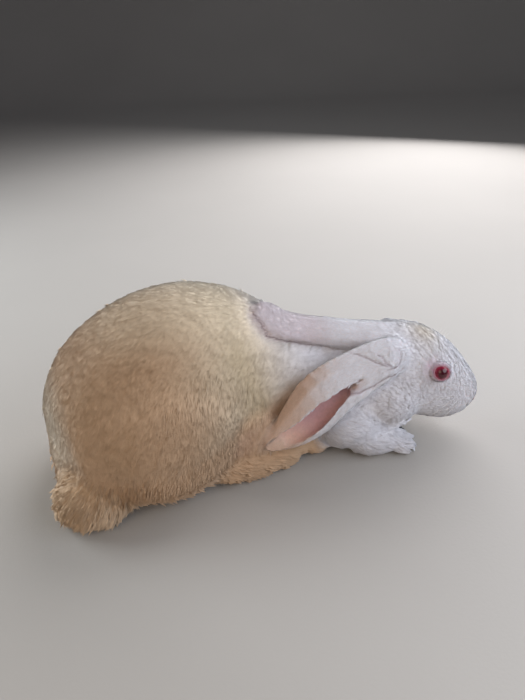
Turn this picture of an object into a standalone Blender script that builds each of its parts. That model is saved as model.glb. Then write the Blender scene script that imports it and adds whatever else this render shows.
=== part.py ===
"""A crouching lop rabbit at life size, as a still museum model.

The rabbit looks along +X with its right side towards -Y, its spine bends to the right
and its head is turned and lowered. Its body is modelled whole, out to the tips of its
coat: a trunk loft with leg and head forms, joined by voxel remeshes and smoothed. The
floor flattens its soles, and thin curved cuts part it into the pieces that a person
would name. The ears and the eyes are solids of their own. The origin is on the floor
under the middle of the model.
"""

import math

import bmesh
import bpy
from mathutils import Matrix, Vector

# ---------------------------------------------------------------- driving dimensions
GAP = 0.0003  # clear space that parts two neighbouring solids
COARSE_VOXEL = 0.005
FINE_VOXEL = 0.003
BODY_FACES = 3200  # triangles kept in the whole body before it is parted

# The trunk from rump to neck: place of the spine in plan, half width, lowest and
# highest level, and how far up the section is widest (a share of its height).
#    x       y      half_w  low     high   widest
TRUNK = (
    (-0.212, 0.036, 0.034, 0.026, 0.084, 0.45),
    (-0.203, 0.038, 0.064, 0.010, 0.114, 0.36),
    (-0.175, 0.043, 0.084, 0.002, 0.150, 0.33),
    (-0.125, 0.052, 0.090, 0.001, 0.178, 0.36),
    (-0.070, 0.057, 0.086, 0.001, 0.187, 0.40),
    (-0.015, 0.055, 0.073, 0.003, 0.173, 0.42),
    (0.035, 0.042, 0.058, 0.005, 0.138, 0.46),
    (0.075, 0.024, 0.048, 0.008, 0.112, 0.50),
    (0.110, 0.006, 0.044, 0.012, 0.105, 0.50),
    (0.140, -0.010, 0.038, 0.024, 0.106, 0.52),
)
TRUNK_RING = 28  # points round a section of the trunk or the head

# The head, across its own axis from nape to nose: place, half width, lower and upper
# level, widest share. The axis runs through the midpoint between the eyes.
HEAD_AT = (0.179, -0.026, 0.088)
HEAD_HEADING = math.radians(-28)
HEAD_PITCH = math.radians(37)
HEAD = (
    (-0.066, 0.014, -0.028, -0.002, 0.50),
    (-0.056, 0.026, -0.048, 0.012, 0.50),
    (-0.034, 0.033, -0.064, 0.023, 0.42),
    (-0.010, 0.035, -0.068, 0.026, 0.38),
    (0.012, 0.031, -0.068, 0.024, 0.38),
    (0.030, 0.026, -0.062, 0.019, 0.38),
    (0.047, 0.021, -0.055, 0.013, 0.40),
    (0.059, 0.016, -0.046, 0.006, 0.42),
    (0.067, 0.009, -0.032, -0.004, 0.50),
)
EYE = (0.000, 0.0265, 0.004)  # the left eye's centre on the head's axes
EYE_RADIUS = 0.0095
EYE_DETAIL = (16, 10)

HIP_AT = (-0.100, 0.045, 0.000)
HIP_HEADING = math.radians(20)
ARM_RIGHT_AT = (0.080, -0.024, 0.033)
ARM_LEFT_AT = (0.088, 0.040, 0.033)
ARM_HEADING = math.radians(-12)
FOOT = (0.066, 0.023, 0.018)  # half length, width and height of a hind foot
PAW = (0.029, 0.015, 0.014)  # the same of a forepaw
TOE_LENGTH = 0.012

# Ears, from base to tip: place, half width, half thickness, half angle of the gap
# between the two lips, depth of the gutter (a share of the full hollow), and the way
# that the open side faces.
#    x      y       z      half_w  half_t  gap  depth  facing
EAR_RIGHT = (
    (0.138, -0.030, 0.106, 0.016, 0.010, 5, 0.05, (-0.4, -0.8, 0.4)),
    (0.114, -0.035, 0.113, 0.021, 0.011, 5, 0.1, (-0.3, -0.8, 0.4)),
    (0.090, -0.033, 0.105, 0.024, 0.011, 5, 0.4, (-0.2, -0.8, 0.4)),
    (0.059, -0.034, 0.094, 0.027, 0.011, 9, 1.0, (-0.2, -0.8, 0.4)),
    (0.040, -0.035, 0.082, 0.028, 0.011, 18, 1.0, (-0.2, -0.8, 0.4)),
    (0.022, -0.035, 0.065, 0.024, 0.010, 24, 1.0, (-0.2, -0.8, 0.4)),
    (0.003, -0.034, 0.051, 0.016, 0.007, 33, 1.0, (-0.2, -0.8, 0.4)),
    (-0.018, -0.034, 0.041, 0.004, 0.004, 50, 1.0, (-0.2, -0.8, 0.4)),
)
EAR_LEFT = (
    (0.145, -0.009, 0.112, 0.015, 0.010, 8, 0.1, (0.0, 0.5, -0.8)),
    (0.124, -0.002, 0.120, 0.015, 0.011, 10, 0.3, (0.0, 0.5, -0.8)),
    (0.102, 0.007, 0.121, 0.015, 0.011, 15, 0.7, (0.0, 0.5, -0.8)),
    (0.076, 0.017, 0.125, 0.015, 0.011, 25, 1.0, (0.0, 0.5, -0.8)),
    (0.050, 0.024, 0.131, 0.016, 0.009, 40, 1.0, (0.0, 0.4, -0.9)),
    (0.028, 0.026, 0.140, 0.019, 0.007, 60, 1.0, (0.0, 0.3, -0.9)),
    (0.012, 0.030, 0.150, 0.020, 0.006, 75, 1.0, (0.0, 0.3, -0.9)),
    (0.001, 0.035, 0.159, 0.012, 0.004, 85, 1.0, (0.0, 0.3, -0.9)),
)
EAR_LEAN = {"ear_right": -18, "ear_left": -11}  # turns the gap towards the lower lip
EAR_WALL = 0.0045
EAR_RING = 9  # points across each face of the ear

CUT_DETAIL = (12, 8)
COAT = ((0.80, 0.74, 0.64), 0.9)  # colour and roughness
EAR_SKIN = ((0.80, 0.66, 0.62), 0.8)
EYEBALL = ((0.35, 0.03, 0.05), 0.1)


def frame(at, heading=0.0, pitch=0.0):
    """A frame whose +X points along the heading and dips by the pitch."""
    turn = Matrix.Rotation(heading, 4, "Z") @ Matrix.Rotation(pitch, 4, "Y")
    return Matrix.Translation(at) @ turn


PLAIN = Matrix.Identity(4)
HIP = frame(HIP_AT, HIP_HEADING)
SKULL = frame(HEAD_AT, HEAD_HEADING, HEAD_PITCH)
ARM_RIGHT = frame(ARM_RIGHT_AT, ARM_HEADING)
ARM_LEFT = frame(ARM_LEFT_AT, ARM_HEADING)

# The cuts in their order: the node's name, and the ellipsoids that it fills together,
# each with its centre, its radii and the frame that they are given in.
PIECES = (
    ("tail", [((-0.190, -0.012, 0.024), (0.048, 0.042, 0.038), PLAIN)]),
    (
        "foreleg_right",
        [
            ((0.000, 0.000, -0.002), (0.044, 0.032, 0.032), ARM_RIGHT),
            ((0.118, -0.046, 0.010), (0.052, 0.032, 0.027), PLAIN),
        ],
    ),
    (
        "foreleg_left",
        [
            ((-0.002, 0.000, -0.002), (0.040, 0.030, 0.034), ARM_LEFT),
            ((0.130, 0.010, 0.010), (0.046, 0.030, 0.024), PLAIN),
        ],
    ),
    ("head", [((0.012, 0.000, -0.012), (0.090, 0.080, 0.080), SKULL)]),
    ("neck", [((0.112, 0.000, 0.088), (0.040, 0.060, 0.048), PLAIN)]),
    (
        "hindleg_right",
        [
            ((-0.006, -0.098, 0.056), (0.090, 0.082, 0.086), HIP),
            ((-0.016, -0.014, 0.012), (0.078, 0.034, 0.028), PLAIN),
        ],
    ),
    (
        "hindleg_left",
        [
            ((-0.006, 0.102, 0.056), (0.090, 0.082, 0.086), HIP),
            ((-0.016, 0.116, 0.012), (0.078, 0.034, 0.028), PLAIN),
        ],
    ),
)


# -------------------------------------------------------------------- ways of making
def object_of(name, bm):
    """Links a mesh object, with its faces turned outwards."""
    mesh = bpy.data.meshes.new(name)
    bmesh.ops.recalc_face_normals(bm, faces=bm.faces)
    bm.to_mesh(mesh)
    bm.free()
    obj = bpy.data.objects.new(name, mesh)
    bpy.context.scene.collection.objects.link(obj)
    return obj


def baked(obj):
    """Applies an object's modifiers."""
    graph = bpy.context.evaluated_depsgraph_get()
    mesh = bpy.data.meshes.new_from_object(obj.evaluated_get(graph))
    obj.modifiers.clear()
    obj.data = mesh
    return obj


def duplicate(obj, name):
    twin = bpy.data.objects.new(name, obj.data.copy())
    bpy.context.scene.collection.objects.link(twin)
    return twin


def ellipsoid(name, centre, radii, place=PLAIN, detail=(24, 16)):
    bm = bmesh.new()
    bmesh.ops.create_uvsphere(bm, u_segments=detail[0], v_segments=detail[1], radius=1)
    bm.transform(place @ Matrix.Translation(centre) @ Matrix.Diagonal((*radii, 1)))
    return object_of(name, bm)


def loft(name, rings):
    """A closed solid through rings of equally many points, capped in strips."""
    bm = bmesh.new()
    loops = [[bm.verts.new(p) for p in ring] for ring in rings]
    count = len(loops[0])
    for a, b in zip(loops, loops[1:]):
        for i in range(count):
            j = (i + 1) % count
            bm.faces.new((a[i], a[j], b[j], b[i]))
    for ring in (loops[0], loops[-1]):
        for i in range(count // 2 - 1):
            bm.faces.new((ring[i], ring[i + 1], ring[-2 - i], ring[-1 - i]))
    return object_of(name, bm)


def eased(rows, steps):
    """Catmull-Rom rows between the given ones, in every column."""
    found = []
    for i in range(len(rows) - 1):
        a, b, c, d = (rows[min(max(k, 0), len(rows) - 1)] for k in range(i - 1, i + 3))
        for k in range(steps):
            t = k / steps
            row = []
            for p, q, r, s in zip(a, b, c, d):
                curve = 2 * p - 5 * q + 4 * r - s + t * (3 * (q - r) + s - p)
                row.append(q + 0.5 * t * (r - p + t * curve))
            found.append(tuple(row))
    return found + [rows[-1]]


def section(at, heading, half_w, low, high, widest, square):
    """An egg-shaped upright ring across the heading."""
    side = Vector((-math.sin(heading), math.cos(heading), 0))
    mid = low + (high - low) * widest
    ring = []
    for k in range(TRUNK_RING):
        turn = 2 * math.pi * k / TRUNK_RING
        c, s = math.cos(turn), math.sin(turn)
        across = half_w * math.copysign(abs(c) ** square, c)
        up = (high - mid if s > 0 else mid - low) * math.copysign(abs(s) ** square, s)
        ring.append(Vector((at[0], at[1], mid + up)) + side * across)
    return ring


def joined(name, parts, voxel, smooth):
    """One skin round overlapping forms."""
    bm = bmesh.new()
    for part in parts:
        bm.from_mesh(part.data)
        bpy.data.objects.remove(part)
    obj = object_of(name, bm)
    remesh = obj.modifiers.new("skin", "REMESH")
    remesh.mode = "VOXEL"
    remesh.voxel_size = voxel
    soften = obj.modifiers.new("soften", "SMOOTH")
    soften.factor = 0.5
    soften.iterations = smooth
    return baked(obj)


def cut(obj, tool, operation):
    """Applies one Boolean and removes its tool."""
    mod = obj.modifiers.new("cut", "BOOLEAN")
    mod.operation = operation
    mod.solver = "EXACT"
    mod.object = tool
    baked(obj)
    bpy.data.objects.remove(tool)
    return obj


# ------------------------------------------------------------------------ body forms
def trunk_form():
    rows = eased(TRUNK, 3)
    rings = []
    for i, (x, y, half_w, low, high, widest) in enumerate(rows):
        before, after = rows[max(i - 1, 0)], rows[min(i + 1, len(rows) - 1)]
        heading = math.atan2(after[1] - before[1], after[0] - before[0])
        rings.append(section((x, y), heading, half_w, low, high, widest, 0.85))
    return loft("trunk_form", rings)


def body_forms():
    return [
        trunk_form(),
        ellipsoid("haunch_r", (-0.015, -0.050, 0.067), (0.078, 0.044, 0.064), HIP),
        ellipsoid("haunch_l", (-0.012, 0.062, 0.066), (0.080, 0.046, 0.066), HIP),
        ellipsoid("rump", (-0.166, 0.046, 0.046), (0.055, 0.072, 0.046)),
        ellipsoid("tail_form", (-0.184, -0.008, 0.0245), (0.041, 0.036, 0.027)),
        ellipsoid("chest", (0.098, 0.004, 0.045), (0.046, 0.046, 0.040)),
        ellipsoid("throat", (0.132, -0.020, 0.053), (0.038, 0.033, 0.037)),
    ]


def limb(name, at, heading, radii, toe_pitch):
    """A foot or paw with four toes at its front end."""
    place = frame(at, math.radians(heading))
    length, width, height = radii
    forms = [ellipsoid(name, (0, 0, 0), radii, place)]
    for k in (-1.5, -0.5, 0.5, 1.5):
        at_toe = (length * (0.97 - 0.04 * abs(k)), k * toe_pitch, -0.25 * height)
        toe_radii = (TOE_LENGTH, 0.55 * toe_pitch, 0.55 * height)
        forms.append(ellipsoid("toe", at_toe, toe_radii, place))
    return forms


def limb_forms():
    return [
        ellipsoid("hock_r", (-0.110, -0.002, 0.020), (0.040, 0.024, 0.022)),
        ellipsoid("knee_r", (-0.026, -0.004, 0.040), (0.044, 0.024, 0.040)),
        ellipsoid("knee_l", (-0.040, 0.110, 0.040), (0.044, 0.024, 0.040)),
        ellipsoid("arm_r", (0, 0, 0), (0.036, 0.024, 0.027), ARM_RIGHT),
        ellipsoid("arm_l", (0, 0, 0), (0.036, 0.024, 0.027), ARM_LEFT),
        *limb("foot_r", (-0.018, -0.011, 0.016), 4, FOOT, 0.010),
        *limb("foot_l", (-0.018, 0.114, 0.016), -6, FOOT, 0.010),
        *limb("paw_r", (0.104, -0.041, 0.013), -12, PAW, 0.0075),
        *limb("paw_l", (0.120, 0.014, 0.013), -24, PAW, 0.0075),
    ]


def head_forms():
    rings = [
        [SKULL @ p for p in section((x, 0), 0, half_w, low, high, widest, 0.95)]
        for x, half_w, low, high, widest in eased(HEAD, 3)
    ]
    forms = [loft("head_form", rings)]
    for side in (-1, 1):
        forms += [
            ellipsoid("cheek", (-0.014, side * 0.018, -0.036), (0.036, 0.020, 0.032), SKULL),
            ellipsoid("pad", (0.041, side * 0.010, -0.026), (0.018, 0.013, 0.020), SKULL),
            ellipsoid("ear_root", (-0.048, side * 0.018, -0.011), (0.020, 0.013, 0.016), SKULL),
        ]
    return forms


def whole_body():
    """The body in one piece, on the floor."""
    torso = joined("torso", body_forms(), COARSE_VOXEL, 12)
    body = joined("trunk", [torso, *limb_forms(), *head_forms()], FINE_VOXEL, 8)
    thin = body.modifiers.new("thin", "DECIMATE")
    thin.ratio = BODY_FACES / (2 * len(body.data.polygons))
    baked(body)
    ground = bmesh.new()
    bmesh.ops.create_cube(ground, size=1)
    ground.transform(Matrix.Translation((0, 0, -0.5)))
    return cut(body, object_of("ground", ground), "DIFFERENCE")


# --------------------------------------------------------------------- eyes and ears
def eyes_in(body):
    """Both eyeballs, each in a socket with a clear gap."""
    eyes = []
    for side, name in ((1, "eye_left"), (-1, "eye_right")):
        at = (EYE[0], side * EYE[1], EYE[2])
        eyes.append(ellipsoid(name, at, [EYE_RADIUS] * 3, SKULL, EYE_DETAIL))
        socket = ellipsoid("socket", at, [EYE_RADIUS + GAP] * 3, SKULL, EYE_DETAIL)
        cut(body, socket, "DIFFERENCE")
    return eyes


def ear_section(at, across, facing, half_w, half_t, gap, depth, lean):
    """A flattened C, listed along its outer face and back along its inner one."""
    first = math.radians(lean + gap)
    sweep = 2 * math.pi - math.radians(2 * gap)
    outer, inner = [], []
    for k in range(EAR_RING):
        turn = first + sweep * k / (EAR_RING - 1)
        middle = across * half_w * math.sin(turn) + facing * half_t * math.cos(turn)
        normal = across * math.sin(turn) / half_w + facing * math.cos(turn) / half_t
        normal.normalize()
        share = abs(2 * k / (EAR_RING - 1) - 1)
        wall = EAR_WALL / 2 * (1 - 0.5 * share**4)
        outer.append(middle + normal * wall)
        inner.append(middle - normal * wall)
    for k in range(1, EAR_RING - 1):
        mouth = inner[0].lerp(inner[-1], k / (EAR_RING - 1))
        inner[k] = mouth.lerp(inner[k], depth)
    return [at + p for p in outer + inner[::-1]]


def ear(name, rows, body):
    """A lop ear: a gutter that is rolled at its base and opens towards its tip."""
    stations = eased([(*row[:7], *row[7]) for row in rows], 2)
    rings = []
    for i, (x, y, z, half_w, half_t, gap, depth, *facing) in enumerate(stations):
        before, after = stations[max(i - 1, 0)], stations[min(i + 1, len(stations) - 1)]
        along = (Vector(after[:3]) - Vector(before[:3])).normalized()
        out = Vector(facing)
        out = (out - along * out.dot(along)).normalized()
        across = along.cross(out)
        at = Vector((x, y, z))
        rings.append(
            ear_section(at, across, out, half_w, half_t, gap, depth, EAR_LEAN[name])
        )
    grown = duplicate(body, "grown")
    swell = grown.modifiers.new("swell", "DISPLACE")
    swell.strength = GAP
    swell.mid_level = 0
    return cut(loft(name, rings), baked(grown), "DIFFERENCE")


# --------------------------------------------------------------------------- parting
def region(blobs, grow):
    """The union of a piece's ellipsoids, each grown by the same amount."""
    parts = [
        ellipsoid("region", centre, [r + grow for r in radii], place, CUT_DETAIL)
        for centre, radii, place in blobs
    ]
    whole = parts[0]
    for part in parts[1:]:
        cut(whole, part, "UNION")
    return whole


def part_off(rest, name, blobs):
    """Takes the piece inside the region off the rest, with a clear gap between."""
    piece = duplicate(rest, name)
    cut(piece, region(blobs, 0.0), "INTERSECT")
    cut(rest, region(blobs, GAP), "DIFFERENCE")
    return piece


def finished(nodes, look):
    """Gives each node its own material and smooth shading."""
    colour, roughness = look
    for obj in nodes:
        material = bpy.data.materials.new(obj.name)
        material.use_nodes = True
        shader = material.node_tree.nodes["Principled BSDF"]
        shader.inputs["Base Color"].default_value = (*colour, 1)
        shader.inputs["Roughness"].default_value = roughness
        shader.inputs["Metallic"].default_value = 0
        obj.data.materials.clear()
        obj.data.materials.append(material)
        obj.data.shade_smooth()
        obj.data.set_sharp_from_angle(angle=math.radians(40))


def centred(nodes):
    """Moves the whole model in plan, so that the origin is under its middle."""
    points = [v.co for obj in nodes for v in obj.data.vertices]
    middle = [(min(p[i] for p in points) + max(p[i] for p in points)) / 2 for i in (0, 1)]
    for obj in nodes:
        obj.data.transform(Matrix.Translation((-middle[0], -middle[1], 0)))


def main():
    for obj in list(bpy.data.objects):
        bpy.data.objects.remove(obj)
    trunk = whole_body()
    eyes = eyes_in(trunk)
    ears = [ear("ear_right", EAR_RIGHT, trunk), ear("ear_left", EAR_LEFT, trunk)]
    flesh = [part_off(trunk, name, blobs) for name, blobs in PIECES]
    finished((trunk, *flesh), COAT)
    finished(ears, EAR_SKIN)
    finished(eyes, EYEBALL)
    centred((trunk, *flesh, *ears, *eyes))


main()
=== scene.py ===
"""A crouching albino lop rabbit at life size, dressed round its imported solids.

One skin lies inside the solids by the depth of the coat, from the nose to the tail. The
coat stands on it as small closed tufts that follow the lie of the fur, finest on the
face and feet. The eyes, claws and whiskers are pieces of their own.
"""

import math

import bmesh
import bpy
import numpy as np
from mathutils import Matrix, Vector
from mathutils.bvhtree import BVHTree
from mathutils.kdtree import KDTree


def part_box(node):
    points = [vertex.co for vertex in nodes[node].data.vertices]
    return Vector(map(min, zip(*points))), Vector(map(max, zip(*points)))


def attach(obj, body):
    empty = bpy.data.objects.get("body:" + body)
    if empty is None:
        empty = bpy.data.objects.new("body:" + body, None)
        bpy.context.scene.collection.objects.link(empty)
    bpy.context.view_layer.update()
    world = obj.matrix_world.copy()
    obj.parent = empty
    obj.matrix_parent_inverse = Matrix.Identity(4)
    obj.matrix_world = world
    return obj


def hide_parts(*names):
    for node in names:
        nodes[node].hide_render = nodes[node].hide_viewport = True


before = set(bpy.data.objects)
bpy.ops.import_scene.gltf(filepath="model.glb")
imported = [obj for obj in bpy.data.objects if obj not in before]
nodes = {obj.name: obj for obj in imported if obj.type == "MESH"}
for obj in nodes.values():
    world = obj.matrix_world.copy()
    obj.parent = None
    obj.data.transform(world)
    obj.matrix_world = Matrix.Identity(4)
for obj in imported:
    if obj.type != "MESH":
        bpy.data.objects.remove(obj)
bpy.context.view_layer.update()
scene = bpy.context.scene

# ------------------------------------------------------------------------------- room
# Not part of the rabbit: a plain pale floor that sweeps up into a wall, cool daylight
# from a window near its head, a weaker warm light on its hindquarters, and the camera
# above its right side.


def mesh_object(name, points, corners, sides):
    """A mesh object from arrays: its points, and the corners of faces of equal sides."""
    mesh = bpy.data.meshes.new(name)
    mesh.vertices.add(len(points))
    mesh.vertices.foreach_set("co", np.asarray(points, np.float32).ravel())
    mesh.loops.add(len(corners))
    mesh.loops.foreach_set("vertex_index", np.asarray(corners, np.int32))
    mesh.polygons.add(len(corners) // sides)
    mesh.polygons.foreach_set("loop_start", np.arange(0, len(corners), sides, np.int32))
    mesh.update(calc_edges=True)
    obj = bpy.data.objects.new(name, mesh)
    scene.collection.objects.link(obj)
    return obj


def write(mesh, label, kind, values):
    """Writes an attribute of a mesh's points from an array."""
    field = {"FLOAT": "value", "FLOAT_VECTOR": "vector", "FLOAT_COLOR": "color"}[kind]
    values = np.asarray(values, np.float32).ravel()
    mesh.attributes.new(label, kind, "POINT").data.foreach_set(field, values)


def plain_finish(name, **fixed):
    """A Principled material whose even qualities are set on the shader's own sockets."""
    material = bpy.data.materials.new(name)
    material.use_nodes = True
    shader = material.node_tree.nodes["Principled BSDF"]
    for key, value in fixed.items():
        shader.inputs[key.replace("_", " ")].default_value = value
    return material, material.node_tree, shader


def add_node(tree, kind, **values):
    """Adds a node to a tree, with plain values or links for its inputs."""
    made = tree.nodes.new(kind)
    for key, value in values.items():
        socket = made.inputs[int(key[1:]) if key[0] == "_" else key.replace("_", " ")]
        if isinstance(value, bpy.types.NodeSocket):
            tree.links.new(value, socket)
        else:
            socket.default_value = value
    return made


def attribute(tree, label, output):
    """Reads an attribute of the piece."""
    reader = add_node(tree, "ShaderNodeAttribute")
    reader.attribute_name = label
    return reader.outputs[output]


def noise(tree, over, scale, detail):
    """Noise over a vector."""
    made = add_node(tree, "ShaderNodeTexNoise", Vector=over, Scale=scale, Detail=detail)
    return made.outputs["Fac"]


def mottle(tree, scale, detail, stretch=(1, 1, 1)):
    """Noise on the piece's own place in space."""
    place = add_node(tree, "ShaderNodeTexCoord").outputs["Object"]
    turn = add_node(tree, "ShaderNodeMapping", Vector=place, Scale=stretch)
    return noise(tree, turn.outputs["Vector"], scale, detail)


def ranged(tree, value, low, high):
    """Stretches the middle of a noise over a range."""
    ends = {"From_Min": 0.3, "From_Max": 0.7, "To_Min": low, "To_Max": high}
    return add_node(tree, "ShaderNodeMapRange", Value=value, **ends).outputs["Result"]


def shaded(tree, colour, value):
    """A colour made lighter or darker by a value."""
    return add_node(tree, "ShaderNodeHueSaturation", Color=colour, Value=value).outputs["Color"]


def finish(name, colour, grain, tones, pits=None, **fixed):
    """A material of one colour, or of the piece's own markings with their painted light and
    shade, with a fine grain.

    The grain is a noise's scale, detail and stretch, the tones are its darkest and
    lightest, and the pits are the scale and detail of a bump, its depth and strength.
    """
    material, tree, shader = plain_finish(name, **fixed)
    if colour == "Markings_light_and_shade":
        colour = attribute(tree, colour, "Color")
    toned = shaded(tree, colour, ranged(tree, mottle(tree, *grain), *tones))
    tree.links.new(toned, shader.inputs["Base Color"])
    if pits:
        scale, detail, depth, strength = pits
        high = mottle(tree, scale, detail)
        bump = add_node(tree, "ShaderNodeBump", Height=high, Distance=depth, Strength=strength)
        tree.links.new(bump.outputs["Normal"], shader.inputs["Normal"])
    return material


SWEEP_NEAR, SWEEP_FAR, SWEEP_BEND, SWEEP_HIGH, SWEEP_HALF = -3.0, 2.4, 1.2, 3.5, 6.0
SWEEP_WAY = np.array((0.342, 0.940, 0.0))
SWEEP_SIDE = np.array((0.940, -0.342, 0.0))
arc = np.linspace(0, math.pi / 2, 25)
profile = [(SWEEP_NEAR, 0.0)]
profile += list(zip(SWEEP_FAR + SWEEP_BEND * np.sin(arc), SWEEP_BEND * (1 - np.cos(arc))))
profile.append((SWEEP_FAR + SWEEP_BEND, SWEEP_HIGH))
sheet = [
    away * SWEEP_WAY + side * SWEEP_SIDE + np.array((0, 0, up))
    for away, up in profile
    for side in (-SWEEP_HALF, SWEEP_HALF)
]
quads = [(2 * k, 2 * k + 1, 2 * k + 3, 2 * k + 2) for k in range(len(profile) - 1)]
floor = mesh_object("floor", sheet, np.ravel(quads), 4)
floor.data.shade_smooth()
FLOOR_GREY = (0.42, 0.40, 0.38, 1)
floor_paint = finish(
    "floor_paint", FLOOR_GREY, (3.0, 4), (0.98, 1.02), (300.0, 3, 0.0004, 0.3), Roughness=0.75
)
floor.data.materials.append(floor_paint)

FOCAL_MM, SENSOR_MM = 28.8, 36
CAMERA_AT = (-0.16366, -0.47499, 0.42)
AHEAD = Vector((0.29005, 0.79690, -0.52992))
RIGHT = Vector((0.93089, -0.36342, -0.03699))
UP = Vector((0.22206, 0.48257, 0.84724))
lens = bpy.data.cameras.new("camera")
lens.sensor_width = SENSOR_MM
lens.lens = FOCAL_MM
lens.clip_start = 0.01
camera = bpy.data.objects.new("camera", lens)
camera.matrix_world = Matrix((RIGHT, UP, -AHEAD)).transposed().to_4x4()
camera.location = CAMERA_AT
scene.collection.objects.link(camera)
scene.camera = camera
scene.view_settings.view_transform = "Standard"


def soft_light(name, aim, way, distance, size, power, colour):
    """A round soft lamp that looks at a place on the rabbit."""
    lamp = bpy.data.lights.new(name, "AREA")
    lamp.shape = "DISK"
    lamp.size = size
    lamp.energy = power
    lamp.color = colour
    hung = bpy.data.objects.new(name, lamp)
    way = Vector(way).normalized()
    hung.location = Vector(aim) + way * distance
    hung.rotation_mode = "QUATERNION"
    hung.rotation_quaternion = way.to_track_quat("Z", "Y")
    scene.collection.objects.link(hung)


HEAD_PLACE, BACK_PLACE = (0.15, -0.05, 0.08), (0.0, 0.0, 0.10)
DAYLIGHT, COOL = (1.0, 0.99, 1.0), (0.87, 0.92, 1.0)
WARM, SHADE = (1.0, 0.78, 0.54), (0.90, 0.97, 1.0)
soft_light("window", BACK_PLACE, (0.9, 0.9, 0.8), 1.3, 1.7, 23, DAYLIGHT)
soft_light("window_side", HEAD_PLACE, (0.93, -0.36, 0.8), 0.8, 0.68, 2.7, COOL)
soft_light("window_near", HEAD_PLACE, (0.4, -1.0, 0.7), 0.8, 0.68, 3.0, COOL)
soft_light("lamp", BACK_PLACE, (-0.8, -0.8, 0.6), 1.3, 1.0, 3.8, WARM)
soft_light("doorway", BACK_PLACE, (-1.0, 0.6, 0.35), 1.3, 0.8, 12, SHADE)
world = bpy.data.worlds.new("sky")
scene.world = world
world.use_nodes = True
sky = world.node_tree.nodes["Background"]
sky.inputs["Color"].default_value = (0.90, 0.92, 1.0, 1)
sky.inputs["Strength"].default_value = 0.12

# ------------------------------------------------------------------------------- skin
# The rabbit's one hide, from the nose over both ears to the tail. It is the solids
# joined without their cuts and drawn in by the coat's depth, with lids, nostrils, a
# split lip and the folds at the ears' roots worked into it.
FLESH = ("trunk", "neck", "head", "tail", "ear_right", "ear_left")
FLESH += ("foreleg_right", "foreleg_left", "hindleg_right", "hindleg_left")
EYES = {"right": "eye_right", "left": "eye_left"}
SWELL = 0.0004  # closes the cuts between the solids
SKIN_VOXEL = 0.0023  # fine enough for the toes, and under 200,000 triangles

# The head's own axes: it is turned to the right and its nose dips.
TURN, DIP = math.radians(-28), math.radians(37)
NOSEWARD = np.array(
    (math.cos(TURN) * math.cos(DIP), math.sin(TURN) * math.cos(DIP), -math.sin(DIP))
)
LEFTWARD = np.array((-math.sin(TURN), math.cos(TURN), 0.0))
CROWNWARD = np.cross(NOSEWARD, LEFTWARD)
SKULL = np.array((NOSEWARD, LEFTWARD, CROWNWARD))


def middle(node):
    low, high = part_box(node)
    return (np.array(low) + np.array(high)) / 2


eye_at = {side: middle(node) for side, node in EYES.items()}
EYE_RADIUS = 0.0095
UNDER_EYES = 0.004
SKULL_AT = (eye_at["right"] + eye_at["left"]) / 2 - UNDER_EYES * CROWNWARD


def from_skull(at):
    """A place on the head's own axes, nosewards, left and crownwards, in space."""
    return SKULL_AT + np.asarray(at) @ SKULL


def unit(vectors):
    return vectors / np.maximum(np.linalg.norm(vectors, axis=-1, keepdims=True), 1e-9)


def apart(points, at):
    """How far each point is from a place."""
    return np.linalg.norm(points - np.asarray(at), axis=1)


def smooth(low, high, value):
    """A soft step from 0 at low to 1 at high; high may be the smaller one."""
    share = np.clip((value - low) / (high - low), 0, 1)
    return share * share * (3 - 2 * share)


whole = bmesh.new()
cad_points, cad_faces, cad_owner = [], [], []
for index, name in enumerate(FLESH + tuple(EYES.values())):
    part = bmesh.new()
    part.from_mesh(nodes[name].data)
    bmesh.ops.remove_doubles(part, verts=part.verts, dist=1e-6)
    part.normal_update()
    first = len(cad_points)
    cad_points += [v.co.copy() for v in part.verts]
    cad_faces += [[first + v.index for v in face.verts] for face in part.faces]
    cad_owner += [min(index, len(FLESH))] * len(part.faces)
    for vert in part.verts:
        vert.co += vert.normal * SWELL
    swollen = bpy.data.meshes.new("swollen")
    part.to_mesh(swollen)
    part.free()
    whole.from_mesh(swollen)
    bpy.data.meshes.remove(swollen)

# The lips of the right ear meet over the first stretch of its gutter.
LIPS_FROM, LIPS_TO = np.array((0.096, -0.0850, 0.1020)), np.array((0.070, -0.0868, 0.0858))
LIPS_RADIUS, LIPS_TAPER = 0.0074, 0.0014
for along in np.linspace(0, 1, 9):
    at = Matrix.Translation(LIPS_FROM + (LIPS_TO - LIPS_FROM) * along)
    thick = LIPS_RADIUS - LIPS_TAPER * along
    bmesh.ops.create_icosphere(whole, subdivisions=2, radius=thick, matrix=at)
cad_tree = BVHTree.FromPolygons(cad_points, cad_faces)

hide = bpy.data.meshes.new("skin")
whole.to_mesh(hide)
whole.free()
skin = bpy.data.objects.new("skin", hide)
scene.collection.objects.link(skin)
cover = skin.modifiers.new("cover", "REMESH")
cover.mode = "VOXEL"
cover.voxel_size = SKIN_VOXEL
soften = skin.modifiers.new("soften", "SMOOTH")
soften.factor = 0.5
soften.iterations = 4
graph = bpy.context.evaluated_depsgraph_get()
hide = bpy.data.meshes.new_from_object(skin.evaluated_get(graph))
skin.modifiers.clear()
skin.data = hide

# More points where the lids, nose and folds come: centre, radius, times divided.
FINER = [(eye_at["right"], 0.0165, 2), (eye_at["left"], 0.0165, 2)]
FINER += [(from_skull((0.060, 0, -0.020)), 0.018, 2)]
FINER += [(from_skull((-0.055, side * 0.044, -0.010)), 0.028, 1) for side in (-1, 1)]
work = bmesh.new()
work.from_mesh(hide)
for centre, reach, times in FINER:
    centre = Vector(centre)
    for _ in range(times):
        near = {v for v in work.verts if (v.co - centre).length < reach}
        edges = [e for e in work.edges if e.verts[0] in near and e.verts[1] in near]
        bmesh.ops.subdivide_edges(work, edges=edges, cuts=1, use_grid_fill=True)
work.to_mesh(hide)
work.free()


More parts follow.
